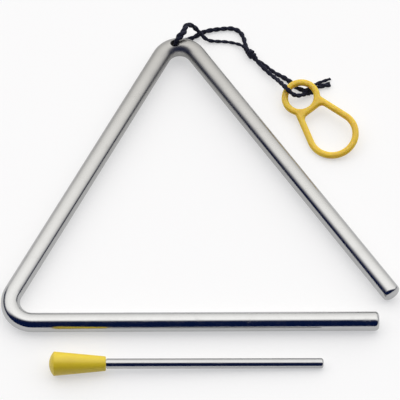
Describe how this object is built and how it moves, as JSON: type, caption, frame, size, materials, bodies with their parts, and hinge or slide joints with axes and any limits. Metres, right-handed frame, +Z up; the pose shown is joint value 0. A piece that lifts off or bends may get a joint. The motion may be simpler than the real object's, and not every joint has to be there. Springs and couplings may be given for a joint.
{
  "type": "triangle instrument with beater",
  "caption": "Bent steel triangle open at a lower corner, hung on a knotted cord with a moulded finger loop, lying above its straight beater with a tapered grip.",
  "frame": {"origin": "on the table top, below the middle of the box round the triangle rod, the finger loop and the beater", "axes": "+X along the lower bar towards the open corner, +Y in the table's plane from the bar to the apex, +Z up from the table"},
  "size_m": [0.1646, 0.1697, 0.0128],
  "materials": {
    "chromed_steel": "polished",
    "beater_steel": "polished",
    "black_cord": "matte",
    "loop_plastic": "satin",
    "grip_plastic": "satin"
  },
  "bodies": {
    "triangle": {"triangle_rod": "chromed_steel"},
    "cord": {"hanging_cord_loop": "black_cord", "middle_knot": "black_cord", "ring_cord_over": "black_cord", "ring_cord_under": "black_cord", "end_knot": "black_cord", "cord_tail_long": "black_cord", "cord_tail_short": "black_cord"},
    "finger_loop": {"finger_loop": "loop_plastic"},
    "beater": {"beater_rod": "beater_steel", "beater_grip": "grip_plastic"}
  },
  "joints": [
    {"name": "cord_swing", "type": "hinge", "parent": "triangle", "child": "cord", "pos_m": [-0.01045, 0.07598, 0.00585], "axis": [0, -0.014, 0.9999], "range_deg": [-6, 140]},
    {"name": "finger_loop_pivot", "type": "hinge", "parent": "cord", "child": "finger_loop", "pos_m": [0.03759, 0.05477, 0.00414], "axis": [-0.4791, -0.857, -0.19], "range_deg": [0, 120]},
    {"name": "beater_lift", "type": "slide", "parent": "triangle", "child": "beater", "axis": [0, 0, 1], "range_m": [0, 0.1]}
  ]
}
